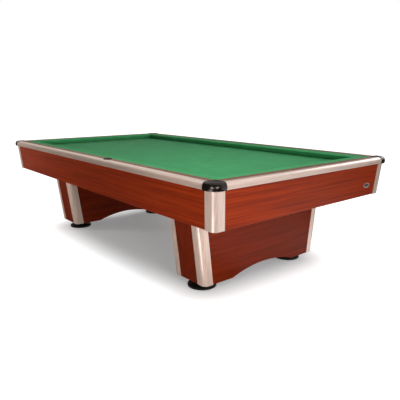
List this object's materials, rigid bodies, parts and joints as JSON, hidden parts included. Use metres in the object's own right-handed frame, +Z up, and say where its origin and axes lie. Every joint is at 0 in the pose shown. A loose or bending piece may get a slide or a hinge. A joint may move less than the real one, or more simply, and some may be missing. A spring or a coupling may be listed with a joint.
{
  "type": "carom billiard table",
  "caption": "Pocketless billiard table with a green cloth bed, aluminium-trimmed rails, leaning wood aprons and arched pedestals on screw levelling feet.",
  "frame": {"origin": "on the floor, under the middle of the table", "axes": "+X along the table's length, +Y across it, +Z up"},
  "size_m": [2.874, 1.604, 0.789],
  "materials": {
    "slate": "honed slate",
    "steel": "zinc plated",
    "timber": "planed, unvarnished",
    "cloth": "napless worsted cloth",
    "rubber": "moulded",
    "sight": "pearl",
    "black_plastic": "satin moulded",
    "foot_plastic": "matte",
    "apron_wood": "red-brown mahogany laminate",
    "pedestal_wood": "red-brown mahogany laminate",
    "band_wood": "red-brown laminate, glossy",
    "aluminium": "brushed, anodised"
  },
  "bodies": {
    "table": {"slate_left": "slate", "slate_middle": "slate", "slate_right": "slate", "slate_dowels": "steel", "rail_bolts": "steel", "pedestal_bolts": "steel", "foot_nuts": "steel", "slate_backing": "timber", "feather_strips": "timber", "long_beams": "timber", "cross_beams": "timber", "pedestal_tops": "timber", "foot_blocks": "timber", "bed_cloth": "cloth", "cushion_rubbers": "rubber", "sights": "sight", "chalk_dish": "black_plastic", "pedestal_sides": "pedestal_wood", "rail_core_front": "timber", "cushion_cloth_front": "cloth", "wood_band_front": "band_wood", "rail_trim_front": "aluminium", "apron_front": "apron_wood", "rail_core_back": "timber", "cushion_cloth_back": "cloth", "wood_band_back": "band_wood", "rail_trim_back": "aluminium", "apron_back": "apron_wood", "rail_core_left": "timber", "cushion_cloth_left": "cloth", "wood_band_left": "band_wood", "rail_trim_left": "aluminium", "apron_left": "apron_wood", "rail_core_right": "timber", "cushion_cloth_right": "cloth", "wood_band_right": "band_wood", "rail_trim_right": "aluminium", "apron_right": "apron_wood", "corner_cap_front_left": "black_plastic", "apron_corner_front_left": "aluminium", "corner_cap_front_right": "black_plastic", "apron_corner_front_right": "aluminium", "corner_cap_back_left": "black_plastic", "apron_corner_back_left": "aluminium", "corner_cap_back_right": "black_plastic", "apron_corner_back_right": "aluminium", "pedestal_outer_panel_left": "pedestal_wood", "pedestal_inner_panel_left": "pedestal_wood", "pedestal_strips_left": "aluminium", "pedestal_outer_panel_right": "pedestal_wood", "pedestal_inner_panel_right": "pedestal_wood", "pedestal_strips_right": "aluminium"},
    "foot_pad_front_left": {"foot_pad_front_left": "foot_plastic"},
    "foot_stem_front_left": {"foot_stem_front_left": "steel"},
    "foot_pad_front_right": {"foot_pad_front_right": "foot_plastic"},
    "foot_stem_front_right": {"foot_stem_front_right": "steel"},
    "foot_pad_back_left": {"foot_pad_back_left": "foot_plastic"},
    "foot_stem_back_left": {"foot_stem_back_left": "steel"},
    "foot_pad_back_right": {"foot_pad_back_right": "foot_plastic"},
    "foot_stem_back_right": {"foot_stem_back_right": "steel"}
  },
  "joints": [
    {"name": "level_front_left", "type": "slide", "parent": "table", "child": "foot_pad_front_left", "axis": [0, 0, -1], "range_m": [-0.019, 0.025]},
    {"name": "screw_front_left", "type": "hinge", "parent": "foot_pad_front_left", "child": "foot_stem_front_left", "pos_m": [-0.895, -0.419, 0.05], "axis": [0, 0, 1], "range_deg": [-3605, 2740]},
    {"name": "level_front_right", "type": "slide", "parent": "table", "child": "foot_pad_front_right", "axis": [0, 0, -1], "range_m": [-0.019, 0.025]},
    {"name": "screw_front_right", "type": "hinge", "parent": "foot_pad_front_right", "child": "foot_stem_front_right", "pos_m": [0.895, -0.419, 0.05], "axis": [0, 0, 1], "range_deg": [-3605, 2740]},
    {"name": "level_back_left", "type": "slide", "parent": "table", "child": "foot_pad_back_left", "axis": [0, 0, -1], "range_m": [-0.019, 0.025]},
    {"name": "screw_back_left", "type": "hinge", "parent": "foot_pad_back_left", "child": "foot_stem_back_left", "pos_m": [-0.895, 0.419, 0.05], "axis": [0, 0, 1], "range_deg": [-3605, 2740]},
    {"name": "level_back_right", "type": "slide", "parent": "table", "child": "foot_pad_back_right", "axis": [0, 0, -1], "range_m": [-0.019, 0.025]},
    {"name": "screw_back_right", "type": "hinge", "parent": "foot_pad_back_right", "child": "foot_stem_back_right", "pos_m": [0.895, 0.419, 0.05], "axis": [0, 0, 1], "range_deg": [-3605, 2740]}
  ],
  "couplings": [
    {"joint": "screw_front_left", "follows": "level_front_left", "rad_per_m": -2513.3},
    {"joint": "screw_front_right", "follows": "level_front_right", "rad_per_m": -2513.3},
    {"joint": "screw_back_left", "follows": "level_back_left", "rad_per_m": -2513.3},
    {"joint": "screw_back_right", "follows": "level_back_right", "rad_per_m": -2513.3}
  ]
}
